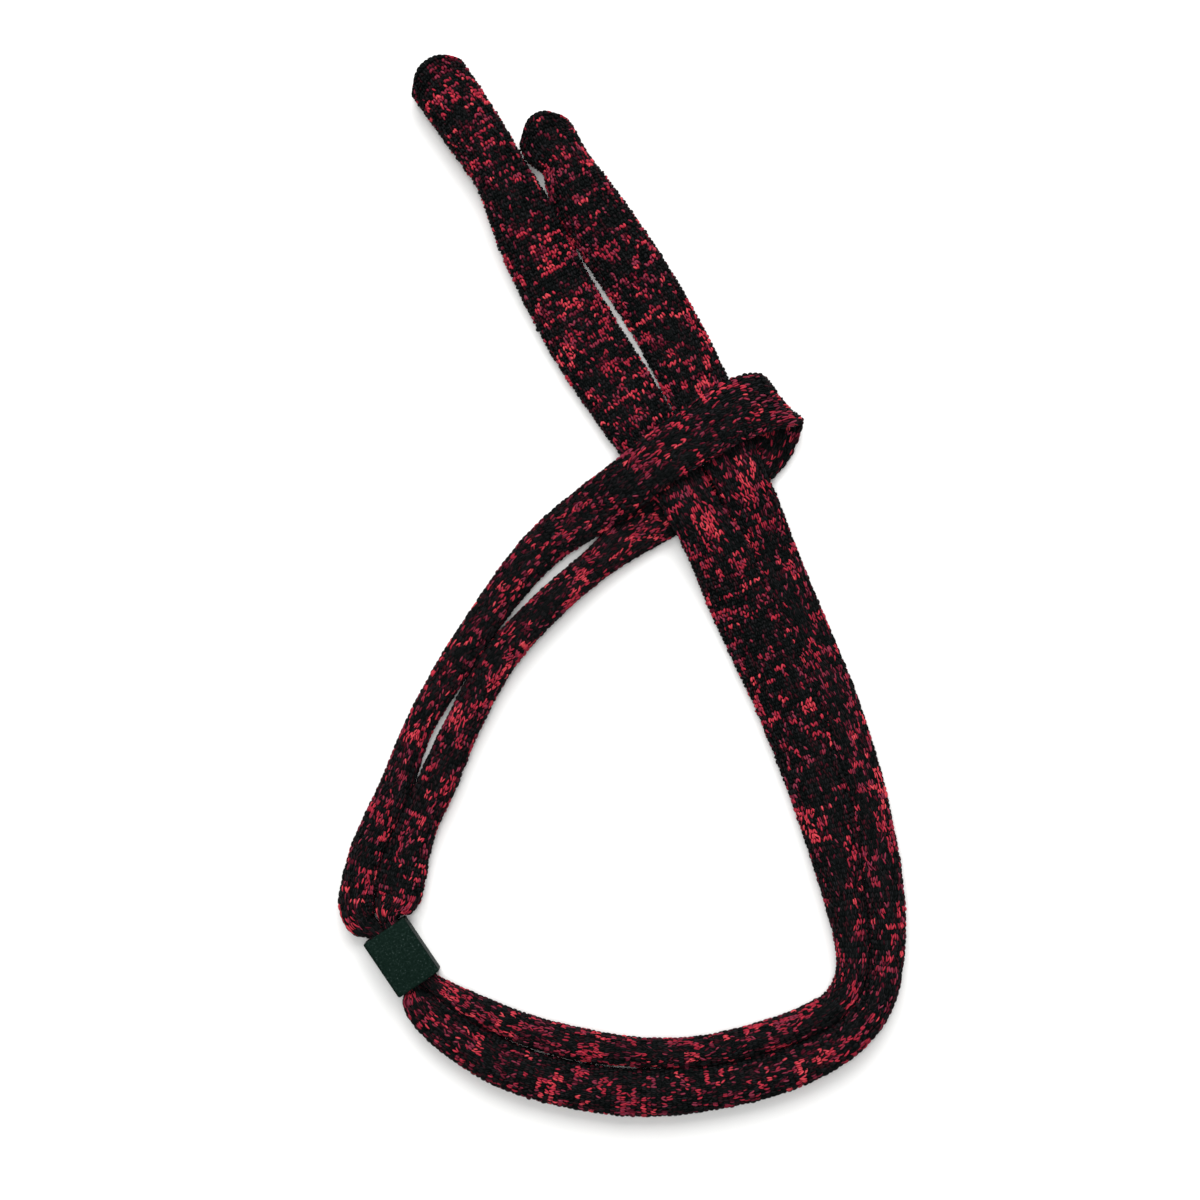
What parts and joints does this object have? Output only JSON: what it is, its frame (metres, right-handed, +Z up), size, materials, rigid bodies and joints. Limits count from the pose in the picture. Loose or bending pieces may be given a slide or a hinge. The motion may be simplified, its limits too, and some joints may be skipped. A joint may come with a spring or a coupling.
{
  "type": "eyeglass retainer strap",
  "caption": "Knitted tubular eyeglass retainer strap with an open temple sleeve at each end, laid in a half hitch, and a slider that draws its doubled loop tight.",
  "frame": {"origin": "centre of the outline on the table the strap lies on", "axes": "+Z up from the table, +Y along the temple sleeves towards their mouths, +X towards the side that the hitch's fold is on"},
  "size_m": [0.0933, 0.1561, 0.0084],
  "materials": {
    "melange_jersey": "matte jersey knit, near-black ground with red and crimson flecks",
    "hem_jersey": "matte jersey knit, bound-off edge",
    "slider_plastic": "satin moulded plastic, fine grain, near-black green"
  },
  "bodies": {
    "strap": {"sleeve_neck_a": "melange_jersey", "crossing_a": "melange_jersey", "right_run_a": "melange_jersey", "corner_a": "melange_jersey", "bottom_run_a": "melange_jersey", "slack_below_slider_a": "melange_jersey", "strand_in_slider_a": "melange_jersey", "slack_above_slider_a": "melange_jersey", "left_run_a": "melange_jersey", "hitch_under_layer": "melange_jersey", "hitch_fold": "melange_jersey", "hitch_over_band": "melange_jersey", "left_run_b": "melange_jersey", "slack_above_slider_b": "melange_jersey", "strand_in_slider_b": "melange_jersey", "slack_below_slider_b": "melange_jersey", "bottom_run_b": "melange_jersey", "corner_b": "melange_jersey", "right_run_b": "melange_jersey", "crossing_b": "melange_jersey", "sleeve_neck_b": "melange_jersey"},
    "slider": {"slider": "slider_plastic"},
    "sleeve_a": {"sleeve_hem_a": "hem_jersey", "temple_sleeve_a": "melange_jersey", "sleeve_shank_a": "melange_jersey"},
    "sleeve_b": {"sleeve_hem_b": "hem_jersey", "temple_sleeve_b": "melange_jersey", "sleeve_shank_b": "melange_jersey"}
  },
  "joints": [
    {"name": "slider_travel", "type": "hinge", "parent": "strap", "child": "slider", "pos_m": [-0.0083, -0.0302, 0.003], "axis": [0, 0, 1], "range_deg": [-8, 40], "deforming": ["slack_below_slider_a", "slack_below_slider_b", "slack_above_slider_a", "slack_above_slider_b", "strand_in_slider_a", "strand_in_slider_b"]},
    {"name": "sleeve_a_swing", "type": "hinge", "parent": "strap", "child": "sleeve_a", "pos_m": [0.0255, 0.0236, 0.002], "axis": [0, 0, 1], "range_deg": [0, 25], "deforming": ["sleeve_neck_a"]},
    {"name": "sleeve_b_swing", "type": "hinge", "parent": "strap", "child": "sleeve_b", "pos_m": [0.0361, 0.0256, 0.002], "axis": [0, 0, 1], "range_deg": [-25, 0], "deforming": ["sleeve_neck_b"]}
  ]
}
